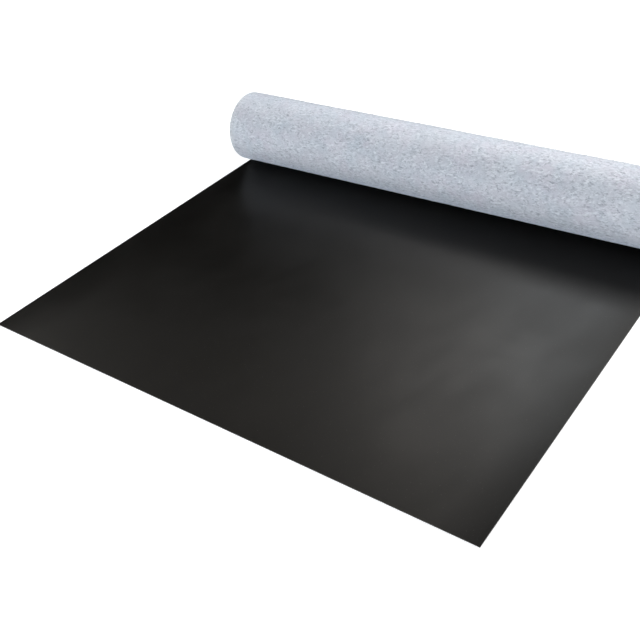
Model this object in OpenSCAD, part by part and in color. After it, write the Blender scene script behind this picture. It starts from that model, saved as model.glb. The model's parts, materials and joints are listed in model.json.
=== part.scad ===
// Roll of fleece-backed roofing felt, partly unrolled.
// One continuous sheet: the far part is still wound up into a roll, the near part lies flat on the floor.
// X runs along the roll, Y from the sheet's free edge towards the roll, Z up.
// The origin is in the middle of the footprint, on the floor.

/* [Sheet] */
// Width of the sheet, which is also the length of the roll
sheet_width = 1000; // [300:10:2000]
// Length of the whole sheet, as it is sold
sheet_length = 10000; // [4000:100:20000]
// Thickness of the sheet, membrane and fleece together
sheet_thickness = 1.6; // [0.8:0.1:4]
// Length that lies flat, from the free edge to the line on which the roll rests
laid_length = 760; // [200:10:2000]

/* [Roll] */
// Diameter of the open bore in the middle of the roll
bore_diameter = 50; // [30:1:120]
// Air between one turn and the next
turn_gap = 0.05; // [0:0.01:0.4]
// Width of the groove that shows between two turns on the ends
groove_width = 0.4; // [0.1:0.05:0.7]
// Depth of that groove
groove_depth = 0.6; // [0.1:0.1:3]

/* [Hidden] */
$fn = 180;

fleece_colour = "#c2c8d2";
membrane_colour = "#272625";

// How far above the floor the roll's underside is where the laid sheet runs into it
tuck_height = 0.05;

// The length that isn't laid out fills the ring between the bore and the outside
bore_radius = bore_diameter / 2;
turn_pitch = sheet_thickness + turn_gap;
wound_length = sheet_length - laid_length;
roll_radius = sqrt(bore_radius * bore_radius + wound_length * turn_pitch / PI);

// Places along Y: the free edge, the roll's axis, and the end of the flat stretch under the roll
footprint_depth = laid_length + roll_radius;
free_edge_y = -footprint_depth / 2;
roll_axis_y = free_edge_y + laid_length;
tuck_length = sqrt(roll_radius * roll_radius - pow(roll_radius - tuck_height, 2));
flat_length = laid_length - tuck_length;

// Turns whose edges show as separate rings; the laid sheet runs into the outermost ones
ringed_wall = roll_radius - sheet_thickness - groove_width - bore_radius;
groove_count = floor(ringed_wall / turn_pitch);
groove_radii = [for (k = [1 : groove_count]) bore_radius + k * turn_pitch];

// One end of the roll as [radius, height] points, from the bore outwards, with a groove after each turn
function end_points(height, inwards) = [
    [bore_radius, height],
    for (radius = groove_radii)
        each [
            [radius - groove_width / 2, height],
            [radius, height + inwards * groove_depth],
            [radius + groove_width / 2, height]
        ],
    [roll_radius, height]
];

function reversed(points) = [for (k = [len(points) - 1 : -1 : 0]) points[k]];

// The wound part: a turned ring with an open bore, its axis along X
module wound_roll() {
    half_width = sheet_width / 2;
    color(fleece_colour)
        translate([0, roll_axis_y, roll_radius])
            rotate([0, 90, 0])
                rotate_extrude()
                    polygon(concat(end_points(-half_width, 1), reversed(end_points(half_width, -1))));
}

// The laid part: it leaves the roll along the floor and ends in a straight cut edge
module laid_sheet() {
    color(membrane_colour)
        translate([-sheet_width / 2, free_edge_y, 0])
            cube([sheet_width, flat_length, sheet_thickness]);
}

// The whole sheet is one piece
module felt_roll() {
    union() {
        wound_roll();
        laid_sheet();
    }
}

felt_roll();
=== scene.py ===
import json
import math

import bpy
import numpy as np
from mathutils import Matrix, Vector


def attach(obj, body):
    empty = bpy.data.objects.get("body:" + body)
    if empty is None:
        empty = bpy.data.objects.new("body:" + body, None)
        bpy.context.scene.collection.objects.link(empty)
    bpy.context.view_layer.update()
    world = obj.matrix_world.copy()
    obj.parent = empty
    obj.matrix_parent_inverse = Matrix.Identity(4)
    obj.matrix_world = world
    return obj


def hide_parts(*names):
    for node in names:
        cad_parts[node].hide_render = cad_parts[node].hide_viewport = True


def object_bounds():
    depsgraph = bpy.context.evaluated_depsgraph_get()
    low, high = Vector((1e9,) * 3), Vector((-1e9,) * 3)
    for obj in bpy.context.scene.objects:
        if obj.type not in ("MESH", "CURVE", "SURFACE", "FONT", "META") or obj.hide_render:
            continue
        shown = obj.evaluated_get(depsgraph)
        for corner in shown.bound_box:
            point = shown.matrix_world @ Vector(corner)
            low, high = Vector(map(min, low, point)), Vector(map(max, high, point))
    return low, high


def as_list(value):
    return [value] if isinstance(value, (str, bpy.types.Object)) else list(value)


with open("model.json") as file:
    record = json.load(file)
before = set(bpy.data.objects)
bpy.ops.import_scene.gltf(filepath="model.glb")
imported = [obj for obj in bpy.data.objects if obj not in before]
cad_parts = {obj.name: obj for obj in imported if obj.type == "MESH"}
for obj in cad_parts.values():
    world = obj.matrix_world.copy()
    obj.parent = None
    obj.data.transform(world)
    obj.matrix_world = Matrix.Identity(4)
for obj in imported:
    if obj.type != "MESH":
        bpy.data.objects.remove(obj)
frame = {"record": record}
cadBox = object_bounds()

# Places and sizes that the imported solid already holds
roundTurn = 2 * math.pi
mmPerMetre = 1000
mountsByName = {mount["name"]: mount for mount in frame["record"]["mounts"]}
bore = mountsByName["roll_bore"]
axisY = bore["pos_m"][1]
rollRadius = bore["pos_m"][2]
boreRadius = bore["dims"]["r_mm"] / mmPerMetre
freeEdgeY = cadBox[0].y
sheetWidth = cadBox[1].x - cadBox[0].x
halfWidth = sheetWidth / 2
laidLength = axisY - freeEdgeY


class Val:  # a shader value: sums written on it add Math nodes
    def __init__(self, tree, socket=None):
        self.tree = tree
        self.socket = socket

    def node(self, kind, settings=None, sockets=None, out=0):  # every other node is made here
        made = self.tree.nodes.new(kind)
        for key, value in (settings or {}).items():
            setattr(made, key, value)
        for key, value in (sockets or {}).items():
            if isinstance(value, Val):
                self.tree.links.new(value.socket, made.inputs[key])
            else:
                made.inputs[key].default_value = value
        return Val(self.tree, made.outputs[out])

    def math(self, operation, first, second=0.0):
        return self.node("ShaderNodeMath", {"operation": operation}, {0: first, 1: second})

    def __add__(self, other):
        return self.math("ADD", self, other)

    def __radd__(self, other):
        return self.math("ADD", other, self)

    def __sub__(self, other):
        return self.math("SUBTRACT", self, other)

    def __rsub__(self, other):
        return self.math("SUBTRACT", other, self)

    def __mul__(self, other):
        return self.math("MULTIPLY", self, other)

    def __rmul__(self, other):
        return self.math("MULTIPLY", other, self)


def newFinish(name):
    finish = bpy.data.materials.new(name)
    finish.use_nodes = True
    return finish, Val(finish.node_tree), finish.node_tree.nodes["Principled BSDF"].inputs


def feed(kit, value, socket):
    kit.tree.links.new(value.socket, socket)


def mixColour(kit, share, first, second):  # a Mix node has its colours at sockets 6 and 7
    return kit.node("ShaderNodeMix", {"data_type": "RGBA"}, {0: share, 6: first, 7: second}, 2)


def between(kit, value, low, high):  # 0 below low, 1 above high, smooth in the middle
    sockets = {"Value": value, "From Min": low, "From Max": high}
    return kit.node("ShaderNodeMapRange", {"interpolation_type": "SMOOTHSTEP"}, sockets, "Result")


def grain(kit, at, spacing, stretch=1.0, turn=0.0, shift=0.0, detail=2.0, bend=0.0, low=0.0, high=1.0):
    sockets = {"Vector": at, "Location": (shift, shift, 0), "Rotation": (0, 0, math.radians(turn))}
    sockets["Scale"] = (spacing * stretch, spacing, 1)  # metres from one grain to the next
    placed = kit.node("ShaderNodeMapping", {"vector_type": "TEXTURE"}, sockets)
    sockets = {"Vector": placed, "Scale": 1.0, "Detail": detail, "Distortion": bend}
    noise = kit.node("ShaderNodeTexNoise", {"noise_dimensions": "2D"}, sockets, "Fac")
    return between(kit, noise, low, high)


# The sheet: one long strip, first made flat, then wound on a path
sheet = {
    "length": 10.0,  # whole sheet, as it is sold
    "membraneThick": 0.0010,  # black face, uppermost where the sheet lies flat
    "fleeceThick": 0.0006,  # backing, outside on the roll
    "rowsPerTurn": 180,
    "pathPerTurn": 360,
    "laidRows": 50,
    "columns": 2,  # the hidden turns need no more
    "shownTurns": 1.05,  # outer turns that get more columns
    "shownCuts": 27,  # extra columns in each of the two
    "smoothAngle": 35,  # degrees; sharper edges stay sharp
    "wander": 0.0014,  # how far the turns shift sideways
    "wanderTurns": (0.3, 1.3),  # the outer turn lies straight, the shift begins under it
    "wanderWaves": ((0.5, 0, 0.61, 0.4), (0.3, 0, 1.37, 2.1), (0.2, 0, 0.23, 1.3)),
    "cone": (1.0050, -0.0795),  # size of the roll at mid-width, and its change per metre across
    "slack": 0.0007,  # most that the outer turn stands proud
    "slackTurns": (0.12, 0.30, 0.75, 0.93),  # none where it meets the floor
    "slackWaves": ((0.5, 0, 0, math.pi / 2), (0.28, 14.6, 0.5, 1.1), (0.22, 33.0, -1.4, 0.0)),
    "laidLift": 0.0004,  # most that the laid part lifts off the floor
    "laidEdge": 0.12,  # the swells die out this near to the cut edges
    "laidRoot": (0.2, 0.05),  # and this near to the roll
    "laidWaves": ((0.5, 0, 0, math.pi / 2), (0.3, 17.5, 5.2, 0.6), (0.2, -6.0, 29.9, 2.0)),
}
sheetThick = sheet["membraneThick"] + sheet["fleeceThick"]
woundLength = sheet["length"] - laidLength
innerRadius = boreRadius + sheetThick
turnPitch = math.pi * (rollRadius**2 - innerRadius**2) / woundLength
turnCount = (rollRadius - innerRadius) / turnPitch
flatMap = "flatSheet"  # UV in metres on the flat sheet
bakeMap = "OFBake"
sameRow = 1e-6  # metres


def angleAt(along):  # how far round the roll a place on the sheet has gone, from the floor line
    wound = np.maximum(along - laidLength, 0)
    radius = np.sqrt(np.maximum(rollRadius**2 - turnPitch * wound / math.pi, 0))
    return (rollRadius - radius) * roundTurn / turnPitch


def alongAt(angle):
    return laidLength + rollRadius * angle - turnPitch * angle**2 / (2 * roundTurn)


def radiusAt(angle):
    return rollRadius - turnPitch * angle / roundTurn


def smoothStep(value, low, high):
    share = np.clip((value - low) / (high - low), 0, 1)
    return share * share * (3 - 2 * share)


# Each wave: its share, radians per metre across, radians per metre or per radian along, its start
def swell(waves, across, along):
    return sum(share * np.sin(wide * across + far * along + start) for share, wide, far, start in waves)


def sideShift(along):  # no turn lies quite over the last one
    angle = angleAt(along)
    first, last = sheet["wanderTurns"]
    held = smoothStep(angle, first * roundTurn, last * roundTurn)
    return sheet["wander"] * held * swell(sheet["wanderWaves"], 0, angle)


def standProud(across, along):  # the outer turn is a little slack
    angle = angleAt(along)
    rise, full, fall, end = (turn * roundTurn for turn in sheet["slackTurns"])
    held = smoothStep(angle, rise, full) * (1 - smoothStep(angle, fall, end))
    return sheet["slack"] * held * swell(sheet["slackWaves"], across, angle)


def coned(spots, flat):  # the roll is a little looser at one end, and rests on the floor all the same
    size, change = sheet["cone"]
    scale = np.where(flat[..., 1] > laidLength, size + change * flat[..., 0], 1)[..., None]
    rest = np.array((0, axisY, 0))
    grown = rest + (spots - rest) * scale
    grown[..., 0] = spots[..., 0]
    return grown


def laidRise(across, along):  # faint swells, none at the cut edges
    edge = sheet["laidEdge"]
    start, stop = (laidLength - near for near in sheet["laidRoot"])
    held = smoothStep(halfWidth - np.abs(across), 0, edge) * smoothStep(along, 0, edge)
    held = held * (1 - smoothStep(along, start, stop))
    return sheet["laidLift"] * held * swell(sheet["laidWaves"], across, along)


def windingPath():
    steps = math.ceil(turnCount * sheet["pathPerTurn"])
    angle = np.linspace(0, turnCount * roundTurn, steps + 1)
    points = np.zeros((steps + 2, 4))
    points[0] = (0, freeEdgeY, 0, 1)
    points[1:, 1] = axisY + radiusAt(angle) * np.sin(angle)
    points[1:, 2] = rollRadius - radiusAt(angle) * np.cos(angle)
    points[1:, 3] = 1
    curve = bpy.data.curves.new("winding_path", "CURVE")
    curve.dimensions = "3D"
    curve.twist_mode = "MINIMUM"
    line = curve.splines.new("POLY")
    line.points.add(len(points) - 1)
    line.points.foreach_set("co", points.ravel())
    line.points.foreach_set("tilt", np.full(len(points), math.pi / 2))  # thickness goes to the inside
    path = bpy.data.objects.new("winding_path", curve)
    bpy.context.scene.collection.objects.link(path)
    return path


def places(piece):
    spots = np.zeros(len(piece.data.vertices) * 3)
    piece.data.vertices.foreach_get("co", spots)
    return spots.reshape(-1, 3)


def setPlaces(piece, spots):
    piece.data.vertices.foreach_set("co", spots.ravel())
    piece.data.update()


def applyModifier(piece, kind, settings):
    modifier = piece.modifiers.new(kind.lower(), kind)
    for key, value in settings.items():
        setattr(modifier, key, value)
    bpy.ops.object.modifier_apply(modifier=modifier.name)


def flatStrip(name, low):
    turnRows = math.ceil(turnCount * sheet["rowsPerTurn"])
    rows = sheet["laidRows"] + turnRows
    bpy.ops.object.select_all(action="DESELECT")
    bpy.ops.mesh.primitive_grid_add(x_subdivisions=sheet["columns"], y_subdivisions=rows, size=1)
    piece = bpy.context.object
    piece.name = name
    laid = np.linspace(0, laidLength, sheet["laidRows"] + 1)
    wound = alongAt(np.linspace(0, turnCount * roundTurn, turnRows + 1))
    rowPlace = np.concatenate([laid, wound[1:]])
    spots = places(piece)
    gone = spots[:, 1] - spots[:, 1].min()  # the grid is one metre long so far
    row = np.rint(gone * rows).astype(int)
    spots[:, 0] *= sheetWidth
    spots[:, 1] = rowPlace[row]
    spots[:, 2] = low
    setPlaces(piece, spots)
    return piece


def cutColumns(piece):  # the part that shows gets more columns
    spots = places(piece)
    bpy.ops.object.mode_set(mode="EDIT")
    bpy.ops.mesh.select_mode(type="EDGE")
    bpy.ops.mesh.select_all(action="DESELECT")
    bpy.ops.object.mode_set(mode="OBJECT")
    shownEnd = alongAt(sheet["shownTurns"] * roundTurn)
    for edge in piece.data.edges:
        first, second = (spots[v] for v in edge.vertices)
        edge.select = abs(first[1] - second[1]) < sameRow and first[1] < shownEnd
    bpy.ops.object.mode_set(mode="EDIT")
    bpy.ops.mesh.subdivide(number_cuts=sheet["shownCuts"])
    bpy.ops.object.mode_set(mode="OBJECT")


def woundLayer(name, path, low, thick):
    piece = flatStrip(name, low)
    cutColumns(piece)
    applyModifier(piece, "SOLIDIFY", {"thickness": thick, "offset": 1})
    flat = places(piece)
    shifted = flat.copy()
    shifted[:, 0] += sideShift(flat[:, 1])
    setPlaces(piece, shifted)
    applyModifier(piece, "CURVE", {"object": path, "deform_axis": "POS_Y"})
    spots = places(piece)
    out = spots - (0, axisY, rollRadius)
    out[:, 0] = 0
    out /= np.linalg.norm(out, axis=1)[:, None]
    spots += out * standProud(flat[:, 0], flat[:, 1])[:, None]
    spots = coned(spots, flat)
    spots[:, 2] += laidRise(flat[:, 0], flat[:, 1])
    setPlaces(piece, spots)
    layFlatMap(piece, flat)
    layBakeMap(piece, flat, low, thick)
    bpy.ops.object.shade_smooth_by_angle(angle=math.radians(sheet["smoothAngle"]))
    reportSize(piece)
    return piece


def reportSize(piece):
    piece.data.calc_loop_triangles()
    print(piece.name, "has", len(piece.data.loop_triangles), "triangles")


def newMap(piece, name, spots):
    layer = piece.data.uv_layers.get(name) or piece.data.uv_layers.new(name=name)
    layer.uv.foreach_set("vector", spots.astype(np.float32).ravel())


def cornerVertices(piece):
    vertex = np.zeros(len(piece.data.loops), np.int32)
    piece.data.loops.foreach_get("vertex_index", vertex)
    return vertex


def layFlatMap(piece, flat):
    for layer in [layer.name for layer in piece.data.uv_layers]:
        piece.data.uv_layers.remove(piece.data.uv_layers[layer])
    newMap(piece, flatMap, flat[cornerVertices(piece), :2] + (halfWidth, 0))


# Room on the bake map for each stretch of the sheet
# In each row: side, from and to along the sheet, from and to on the map
bakeRoom = {
    "fleece_backing": (
        ("under", laidLength, alongAt(roundTurn), 0.0, 0.60),  # the outside of the roll
        ("under", 0.0, laidLength, 0.61, 0.80),
        ("under", alongAt(roundTurn), sheet["length"], 0.81, 0.90),
        ("upper", 0.0, sheet["length"], 0.91, 1.0),
    ),
    "membrane_face": (
        ("upper", 0.0, laidLength, 0.0, 0.80),  # the laid face
        ("upper", sheet["length"] - roundTurn * innerRadius, sheet["length"], 0.81, 0.86),  # the bore
        ("upper", laidLength, sheet["length"] - roundTurn * innerRadius, 0.87, 0.92),
        ("under", 0.0, sheet["length"], 0.93, 1.0),
    ),
}
bakeAcross = 0.985  # the rest of the map's width is for the cut edges
rimRoom = {-1: (0.987, 0.9925), 1: (0.9935, 0.999)}
rimHeights = (0.25, 0.75)  # faces between these heights are cut edges


def layBakeMap(piece, flat, low, thick):
    vertex = cornerVertices(piece)
    starts = np.zeros(len(piece.data.polygons), np.int32)
    counts = np.zeros(len(piece.data.polygons), np.int32)
    piece.data.polygons.foreach_get("loop_start", starts)
    piece.data.polygons.foreach_get("loop_total", counts)
    owner = np.repeat(np.arange(len(starts)), counts)
    height = (flat[vertex, 2] - low) / thick  # 0 on the outside of the roll, 1 on the inside
    meanHeight = np.bincount(owner, height) / counts
    meanAlong = (np.bincount(owner, flat[vertex, 1]) / counts)[owner]
    meanAcross = (np.bincount(owner, flat[vertex, 0]) / counts)[owner]
    lowest, highest = rimHeights
    side = np.where(meanHeight < lowest, "under", np.where(meanHeight > highest, "upper", "rim"))[owner]
    across = (flat[vertex, 0] + halfWidth) / sheetWidth
    along = flat[vertex, 1]
    spots = np.stack([across * bakeAcross, along / sheet["length"]], 1)
    for face, first, last, start, stop in bakeRoom[piece.name]:
        mine = (side == face) & (meanAlong >= first) & (meanAlong <= last)
        spots[mine, 1] = start + (along[mine] - first) / (last - first) * (stop - start)
    for end, (start, stop) in rimRoom.items():
        mine = (side == "rim") & (np.sign(meanAcross) == end)
        spots[mine, 0] = start + height[mine] * (stop - start)
    newMap(piece, bakeMap, np.clip(spots, 0, 1))


path = windingPath()
fleece = woundLayer("fleece_backing", path, 0.0, sheet["fleeceThick"])
membrane = woundLayer("membrane_face", path, sheet["fleeceThick"], sheet["membraneThick"])
bpy.data.objects.remove(path)
print("sheet wound:", round(turnCount, 2), "turns,", round(turnPitch * mmPerMetre, 3), "mm each")

# Loose fibres on the outside of the roll and at the cut ends of the fleece
fibres = {
    "seed": 20,
    "onFace": 6400,
    "onEnds": 1200,  # at each end
    "points": 5,  # along each strand, with a tip at both ends
    "sides": 3,
    "turns": (0.07, 0.93),  # where the outside of the roll is bare
    "length": (0.005, 0.014),
    "thick": (0.00018, 0.00036),
    "lean": 0.8,  # radians, most lie across the sheet
    "curl": 0.0012,
    "sunk": 0.00006,
    "bow": (0.0001, 0.0004),
    "looseShare": 0.12,  # strands with one end standing up
    "looseLift": (0.0006, 0.0020),
    "endLength": (0.0008, 0.0024),
    "endThick": (0.00010, 0.00020),
    "endStart": 0.10,  # metres past the floor line
    "endTilt": 0.7,
}
strandWidth = (0.0, 0.8, 1.0, 0.7, 0.0)  # pointed at both ends


def onRoll(across, angle, radius):
    spots = np.stack([across, axisY + radius * np.sin(angle), rollRadius - radius * np.cos(angle)], -1)
    return coned(spots, np.stack([across, alongAt(angle)], -1))


def drawer(rng, count):  # draws one value for each strand
    def draw(pair):
        return rng.uniform(*pair, (count, 1))
    return draw


def faceStrands(rng):
    count = fibres["onFace"]
    step = np.linspace(-1, 1, fibres["points"])[None, :]
    draw = drawer(rng, count)
    length = draw(fibres["length"])
    lean = rng.normal(0, fibres["lean"], (count, 1))
    curl = rng.normal(0, fibres["curl"], (count, 1)) * (1 - step**2)
    run = step * length / 2
    middle = (sheetWidth - fibres["length"][1]) / 2
    across = draw((-middle, middle)) + run * np.cos(lean) - curl * np.sin(lean)
    angle = draw(fibres["turns"]) * roundTurn + (run * np.sin(lean) + curl * np.cos(lean)) / rollRadius
    loose = (rng.random((count, 1)) < fibres["looseShare"]) * draw(fibres["looseLift"])
    height = draw(fibres["bow"]) * (1 - step**2) - fibres["sunk"] + loose * ((1 + step) / 2) ** 2
    radius = radiusAt(angle) + standProud(across, alongAt(angle)) + height
    return onRoll(across, angle, radius), angle, draw(fibres["thick"])


def endStrands(rng, end):
    count = fibres["onEnds"]
    step = np.linspace(0, 1, fibres["points"])[None, :]
    draw = drawer(rng, count)
    along = draw((laidLength + fibres["endStart"], sheet["length"]))
    length = draw(fibres["endLength"])
    reach = step * length
    sway = rng.normal(0, fibres["endTilt"], (count, 1)) * reach * step
    rise = rng.normal(0, fibres["endTilt"], (count, 1)) * reach * step
    depth = draw((0, sheet["fleeceThick"]))
    across = end * (halfWidth - fibres["sunk"] + reach) + sideShift(along)
    angle = angleAt(along)
    radius = radiusAt(angle) - depth + np.clip(rise, -depth, None)
    swayed = angle + sway / radius
    return onRoll(across, swayed, radius), swayed, draw(fibres["endThick"])


def strandPiece(name, groups):
    spine = np.concatenate([group[0] for group in groups])
    angle = np.concatenate([group[1] for group in groups])
    thick = np.concatenate([group[2] for group in groups])
    out = np.stack([np.zeros_like(angle), np.sin(angle), -np.cos(angle)], -1)
    ahead = np.gradient(spine, axis=1)
    ahead /= np.linalg.norm(ahead, axis=2)[:, :, None]
    side = np.cross(ahead, out)
    side /= np.linalg.norm(side, axis=2)[:, :, None]
    out = np.cross(side, ahead)
    width = thick[:, :, None] / 2 * np.array(strandWidth)[None, :, None]
    count, points, sides = len(spine), fibres["points"], fibres["sides"]
    rings = []
    for corner in range(sides):
        turn = roundTurn * corner / sides
        rings.append(spine + width * (math.cos(turn) * out + math.sin(turn) * side))
    inner = np.stack(rings, 2)[:, 1:-1].reshape(count, -1, 3)
    spots = np.concatenate([spine[:, :1], inner, spine[:, -1:]], 1)
    perStrand = spots.shape[1]
    gaps = points - 3  # from ring to ring, and the tips are no rings
    faces = []
    for corner in range(sides):
        after = (corner + 1) % sides
        faces.append((0, 1 + corner, 1 + after))
        for ring in range(gaps):
            near, far = 1 + ring * sides, 1 + (ring + 1) * sides
            faces.append((near + corner, far + corner, far + after))
            faces.append((near + corner, far + after, near + after))
        last = 1 + gaps * sides
        faces.append((last + corner, perStrand - 1, last + after))
    faces = (np.array(faces)[None] + perStrand * np.arange(count)[:, None, None]).reshape(-1, 3)
    mesh = bpy.data.meshes.new(name)
    mesh.from_pydata(spots.reshape(-1, 3).tolist(), [], faces.tolist())
    piece = bpy.data.objects.new(name, mesh)
    bpy.context.scene.collection.objects.link(piece)
    return piece, perStrand


def tintStrands(piece, perStrand, rng):  # one shade for each strand
    count = len(piece.data.vertices) // perStrand
    shade = piece.data.attributes.new("shade", "FLOAT", "POINT")
    shade.data.foreach_set("value", np.repeat(rng.random(count), perStrand).astype(np.float32))


def makeFibres():
    rng = np.random.default_rng(fibres["seed"])
    groups = [faceStrands(rng), endStrands(rng, -1), endStrands(rng, 1)]
    piece, perStrand = strandPiece("loose_fibres", groups)
    tintStrands(piece, perStrand, rng)
    bpy.ops.object.select_all(action="DESELECT")
    piece.select_set(True)
    bpy.context.view_layer.objects.active = piece
    bpy.ops.object.mode_set(mode="EDIT")
    bpy.ops.mesh.select_all(action="SELECT")
    bpy.ops.mesh.normals_make_consistent(inside=False)
    bpy.ops.object.mode_set(mode="OBJECT")
    bpy.ops.object.shade_smooth()
    reportSize(piece)
    return piece


strands = makeFibres()

# Fleece finish: grey felt, mottled, with flecks of darker and paler fibre
fleeceLook = {
    "lilac": (0.555, 0.536, 0.605, 1),
    "blue": (0.497, 0.536, 0.597, 1),
    "ground": (0.530, 0.539, 0.588, 1),
    "pale": (0.775, 0.800, 0.845, 1),
    "dark": (0.205, 0.230, 0.272, 1),
    "cutEdge": (0.600, 0.614, 0.620, 1),  # paler where the knife went
    "smeared": (0.270, 0.255, 0.235, 1),  # painted shade on the rim of the laid part, dark as if in shadow under the black face above it
    "groundShare": 0.5,
    "cloudShare": 0.20,
    "darkShare": 0.73,
    "paleShare": 0.73,
    "strandShare": 0.22,
    "edgeShare": 0.5,
    "edgeWide": 0.022,
    "rimWide": 0.0005,
    "roughness": 0.95,
    "shine": 0.2,
    "sheen": 0.7,
    "sheenTint": (0.74, 0.845, 1.0, 1),
    "sheenRoughness": 0.4,
    "bump": 0.5,
    "bumpDepth": 0.0006,
    "relief": {"strand": 0.6, "pale": 0.5, "patches": 0.4, "dark": 0.6},  # dark flecks lie low
}
fleeceGrain = {
    "clouds": dict(spacing=0.09, detail=3, low=0.35, high=0.65),
    "haze": dict(spacing=0.035, stretch=1.6, turn=20, shift=7.7, detail=3, low=0.35, high=0.75),
    "tint": dict(spacing=0.045, turn=30, shift=3.1, low=0.25, high=0.75),
    "patches": dict(spacing=0.022, shift=1.7, detail=3, low=0.12, high=0.62),
    "dark": dict(spacing=0.0037, stretch=2.2, turn=8, shift=5.3, bend=0.7, low=0.44, high=0.74),
    "pale": dict(spacing=0.0036, stretch=2.2, turn=-14, shift=8.9, bend=0.7, low=0.44, high=0.74),
}
strandGrain = dict(spacing=0.0008, stretch=11, bend=0.6, low=0.55, high=0.72)
strandTurns = (18, 84, 151)  # degrees


def fromEdges(kit, at):  # how far a place is from the left, the right and the free edge
    across, along = (kit.node("ShaderNodeSeparateXYZ", None, {0: at}, axis) for axis in "XY")
    return across, sheetWidth - across, along


def fleeceFinish():
    finish, kit, shader = newFinish("fleece_finish")
    look = fleeceLook
    at = kit.node("ShaderNodeUVMap", {"uv_map": flatMap})
    layer = {name: grain(kit, at, **row) for name, row in fleeceGrain.items()}
    fuzz = None
    for turn in strandTurns:
        strand = grain(kit, at, turn=turn, shift=turn, **strandGrain)
        fuzz = strand if fuzz is None else kit.math("MAXIMUM", fuzz, strand)
    left, right, along = fromEdges(kit, at)
    inward = kit.math("MINIMUM", left, right)
    edge = 1 - between(kit, inward, 0.0, look["edgeWide"])
    # the cut edges of the laid part, where painted shade goes below
    rim = 1 - between(kit, kit.math("MINIMUM", inward, along), 0.0, look["rimWide"])
    rim = rim * kit.math("LESS_THAN", along, laidLength)
    colour = mixColour(kit, layer["tint"], look["lilac"], look["blue"])
    colour = mixColour(kit, layer["clouds"] * look["groundShare"], colour, look["ground"])
    colour = mixColour(kit, layer["haze"] * look["cloudShare"], colour, look["pale"])
    colour = mixColour(kit, edge * look["edgeShare"], colour, look["cutEdge"])
    colour = mixColour(kit, layer["dark"] * layer["patches"] * look["darkShare"], colour, look["dark"])
    colour = mixColour(kit, layer["pale"] * layer["patches"] * look["paleShare"], colour, look["pale"])
    colour = mixColour(kit, fuzz * look["strandShare"], colour, look["pale"])
    # painted shade: the fleece rim of the laid part is darkened as if in shadow
    colour = mixColour(kit, rim, colour, look["smeared"])
    feed(kit, colour, shader["Base Color"])
    relief = look["relief"]
    height = fuzz * relief["strand"] + layer["pale"] * relief["pale"]
    height = height + layer["patches"] * relief["patches"] - layer["dark"] * relief["dark"]
    sockets = {"Strength": look["bump"], "Distance": look["bumpDepth"], "Height": height}
    feed(kit, kit.node("ShaderNodeBump", None, sockets, "Normal"), shader["Normal"])
    shader["Roughness"].default_value = look["roughness"]
    shader["Specular IOR Level"].default_value = look["shine"]
    shader["Sheen Weight"].default_value = look["sheen"]
    shader["Sheen Tint"].default_value = look["sheenTint"]
    shader["Sheen Roughness"].default_value = look["sheenRoughness"]
    return finish


# Fibre finish: each strand has its own shade
fibreLook = {
    "dark": (0.230, 0.250, 0.285, 1),
    "middle": (0.560, 0.590, 0.640, 1),
    "pale": (0.800, 0.820, 0.850, 1),
    "darkUpTo": (0.22, 0.36),
    "paleFrom": (0.50, 0.66),
    "roughness": 0.8,
    "shine": 0.2,
}


def fibreFinish():
    finish, kit, shader = newFinish("fibre_finish")
    look = fibreLook
    shade = kit.node("ShaderNodeAttribute", {"attribute_name": "shade"}, None, "Fac")
    colour = mixColour(kit, between(kit, shade, *look["darkUpTo"]), look["dark"], look["middle"])
    colour = mixColour(kit, between(kit, shade, *look["paleFrom"]), colour, look["pale"])
    feed(kit, colour, shader["Base Color"])
    shader["Roughness"].default_value = look["roughness"]
    shader["Specular IOR Level"].default_value = look["shine"]
    return finish


# Membrane finish: smooth black, dull, with faint smudges
membraneLook = {
    "black": (0.0018, 0.0016, 0.0014, 1),
    "worn": (0.0030, 0.0028, 0.0026, 1),
    "dust": (0.050, 0.048, 0.045, 1),
    "dustShare": 0.5,
    "roughness": 0.33,
    "roughSpread": 0.03,
    "shine": 0.120,
    "shineTint": (1.0, 0.938, 0.866, 1),
    "bump": 0.12,
    "bumpDepth": 0.0002,
    "droops": ((0.100, 0.0050), (0.065, 0.0025)),  # left and right edge: how far in, how deep
    "droopBump": 1.0,  # full depth
}
membraneGrain = {
    "smudges": dict(spacing=0.14, detail=4, bend=0.4, low=0.30, high=0.70),
    "scuffs": dict(spacing=0.05, stretch=2.5, turn=70, shift=2.3, detail=3, low=0.25, high=0.75),
    "specks": dict(spacing=0.0026, shift=4.1, detail=1, low=0.77, high=0.82),
    "skin": dict(spacing=0.0011, shift=6.7),
}


def membraneFinish():
    finish, kit, shader = newFinish("membrane_finish")
    look = membraneLook
    at = kit.node("ShaderNodeUVMap", {"uv_map": flatMap})
    layer = {name: grain(kit, at, **row) for name, row in membraneGrain.items()}
    colour = mixColour(kit, layer["smudges"], look["black"], look["worn"])
    colour = mixColour(kit, layer["specks"] * look["dustShare"], colour, look["dust"])
    feed(kit, colour, shader["Base Color"])
    uneven = layer["smudges"] + layer["scuffs"] - 1  # from -1 to 1
    feed(kit, uneven * look["roughSpread"] + look["roughness"], shader["Roughness"])
    height = 0.0
    for inward, (wide, deep) in zip(fromEdges(kit, at), look["droops"]):
        lower = kit.math("MAXIMUM", 1 - inward * (1 / wide), 0.0)
        height = height - lower * lower * deep
    sockets = {"Strength": look["droopBump"], "Distance": look["droopBump"], "Height": height}
    droop = kit.node("ShaderNodeBump", None, sockets, "Normal")
    sockets = {"Strength": look["bump"], "Distance": look["bumpDepth"], "Height": layer["skin"]}
    sockets["Normal"] = droop
    feed(kit, kit.node("ShaderNodeBump", None, sockets, "Normal"), shader["Normal"])
    shader["Specular IOR Level"].default_value = look["shine"]
    shader["Specular Tint"].default_value = look["shineTint"]
    return finish


fleece.data.materials.append(fleeceFinish())
strands.data.materials.append(fibreFinish())
membrane.data.materials.append(membraneFinish())
print("finishes made")

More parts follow.
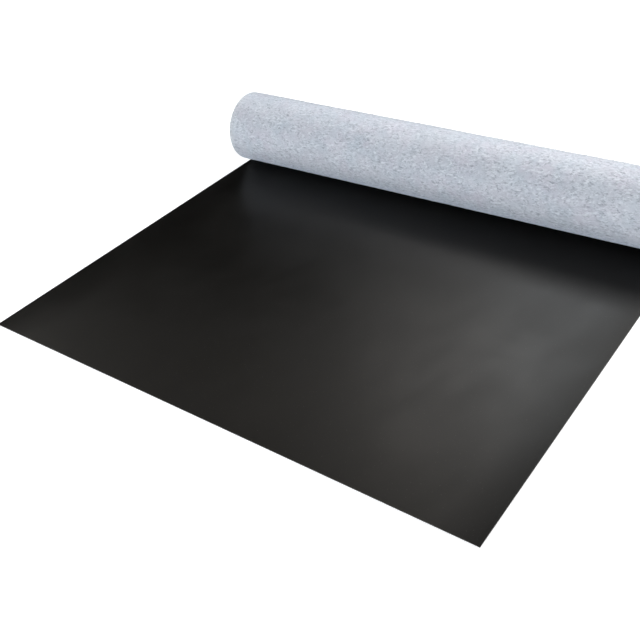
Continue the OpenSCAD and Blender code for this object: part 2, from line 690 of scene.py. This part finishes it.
for piece, slot in ((fleece, "fleece"), (strands, "fleece"), (membrane, "membrane")):
    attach(piece, "root")
for piece, others in ((fleece, [strands]), (membrane, [])):
    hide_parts("felt_roll")
    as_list(others)

# Camera
view = {
    "place": (0.8381, -1.0380, 0.8794),
    "azimuth": 41.3255,  # degrees, round to the right of straight in front
    "elevation": 35.8403,
    "roll": -8.2670,
    "focal": 863.27,  # in pixels of the square picture
    "picture": 640,
    "sensor": 36.0,
}


def placeCamera():
    azimuth, elevation, roll = (math.radians(view[key]) for key in ("azimuth", "elevation", "roll"))
    level = Vector((math.sin(azimuth), -math.cos(azimuth), 0))
    back = level * math.cos(elevation) + Vector((0, 0, math.sin(elevation)))
    right = Vector((math.cos(azimuth), math.sin(azimuth), 0))
    up = back.cross(right)
    across = right * math.cos(roll) + up * math.sin(roll)
    upright = up * math.cos(roll) - right * math.sin(roll)
    data = bpy.data.cameras.new("camera")
    data.sensor_width = view["sensor"]
    data.lens = view["focal"] / view["picture"] * view["sensor"]
    camera = bpy.data.objects.new("camera", data)
    bpy.context.scene.collection.objects.link(camera)
    turn = Matrix((across, upright, back)).transposed().to_4x4()
    camera.matrix_world = Matrix.Translation(view["place"]) @ turn
    bpy.context.scene.camera = camera


# Floor and light
studio = {
    "floorSize": 60.0,
    "floorColour": (0.80, 0.80, 0.80, 1),
    "floorRoughness": 0.9,
    "floorShine": 0.0,
    "floorGlow": (0.40, 1.0),  # near the sheet, so that its shadow shows, and far away
    "floorFar": (0.9, 2.0),
    "white": (1, 1, 1, 1),
    "sky": (0.02, 0.02, 0.0215, 1),
    "horizonFade": (0.0, 0.03),  # height where the white band ends that shiny things mirror
}
rollAim = (0.0, 0.3, 0.1)
sheetAim = (0.2, 0.1, 0.0)
plainLight = (1.0, 1.0, 1.0)
warmLight = (1.0, 0.985, 0.945)
coolLight = (0.89, 0.95, 1.0)
blueLight = (0.88, 0.95, 1.0)
# In each row: aim, azimuth from +Y towards +X, elevation, distance, size across and up, watts, colour
lamps = {
    "back": (sheetAim, -15, 42, 3.0, 0.8, 0.8, 19.2, coolLight),
    "backMid": (sheetAim, -32, 45, 3.0, 0.8, 0.8, 14.5, plainLight),
    "backHigh": (sheetAim, -40, 60, 3.0, 0.9, 0.8, 6.6, warmLight),
    "leftBack": (sheetAim, -58, 45, 3.0, 0.8, 0.6, 3.6, warmLight),
    "left": (sheetAim, -78, 36, 3.0, 0.9, 0.8, 3.0, warmLight),
    "leftLow": (sheetAim, -88, 30, 3.0, 0.7, 0.6, 4.0, warmLight),
    "rollEnd": ((0.40, 0.40, 0.15), 25, 42, 1.2, 0.6, 0.5, 19.0, warmLight),
    "front": (rollAim, 192, 15, 3.0, 2.0, 1.2, 54.5, blueLight),
    "frontRight": (rollAim, 120, 14, 3.0, 2.0, 1.2, 7.0, blueLight),
    "frontHigh": (rollAim, 170, 30, 3.0, 2.0, 1.2, 29.5, plainLight),
}


def seenRays(kit, mirrored=1.0):  # what the camera sees, straight or in a shiny or clear thing
    names = ("Is Camera Ray", "Is Glossy Ray", "Is Transmission Ray")
    first, second, third = (kit.node("ShaderNodeLightPath", None, None, name) for name in names)
    return kit.math("MINIMUM", first + (second + third) * mirrored, 1.0)


def placeFloor():
    bpy.ops.object.select_all(action="DESELECT")
    bpy.ops.mesh.primitive_plane_add(size=studio["floorSize"], location=(0, 0, 0))
    floor = bpy.context.object
    floor.name = "floor"
    finish, kit, shader = newFinish("floor_finish")
    shader["Base Color"].default_value = studio["floorColour"]
    shader["Roughness"].default_value = studio["floorRoughness"]
    shader["Specular IOR Level"].default_value = studio["floorShine"]
    at = kit.node("ShaderNodeTexCoord", None, None, "Object")
    away = kit.node("ShaderNodeVectorMath", {"operation": "LENGTH"}, {0: at}, "Value")
    near, far = studio["floorGlow"]
    strength = between(kit, away, *studio["floorFar"]) * (far - near) + near
    glow = {"Color": studio["white"], "Strength": seenRays(kit) * strength}
    plain = Val(kit.tree, kit.tree.nodes["Principled BSDF"].outputs[0])
    light = kit.node("ShaderNodeEmission", None, glow)
    both = kit.node("ShaderNodeAddShader", None, {0: plain, 1: light})
    feed(kit, both, kit.tree.nodes["Material Output"].inputs["Surface"])
    floor.data.materials.append(finish)


def placeLamps():
    for name, (aim, azimuth, elevation, distance, across, tall, watts, colour) in lamps.items():
        turn, up = math.radians(azimuth), math.radians(elevation)
        level = Vector((math.sin(turn), math.cos(turn), 0))
        away = level * math.cos(up) + Vector((0, 0, math.sin(up)))
        data = bpy.data.lights.new(name, "AREA")
        data.shape = "RECTANGLE"
        data.size = across
        data.size_y = tall
        data.energy = watts
        data.color = colour
        lamp = bpy.data.objects.new(name, data)
        lamp.location = Vector(aim) + away * distance
        lamp.rotation_euler = away.to_track_quat("Z", "Y").to_euler()
        bpy.context.scene.collection.objects.link(lamp)


def placeWorld():
    world = bpy.data.worlds.new("studio")
    bpy.context.scene.world = world
    world.use_nodes = True
    kit = Val(world.node_tree)
    at = kit.node("ShaderNodeTexCoord", None, None, "Generated")
    height = kit.node("ShaderNodeSeparateXYZ", None, {0: at}, "Z")
    band = 1 - between(kit, height, *studio["horizonFade"])
    colour = mixColour(kit, seenRays(kit, band), studio["sky"], studio["white"])
    feed(kit, colour, world.node_tree.nodes["Background"].inputs["Color"])


placeCamera()
placeFloor()
placeLamps()
placeWorld()
bpy.context.scene.view_settings.view_transform = "Standard"
print("camera, floor and lamps placed")
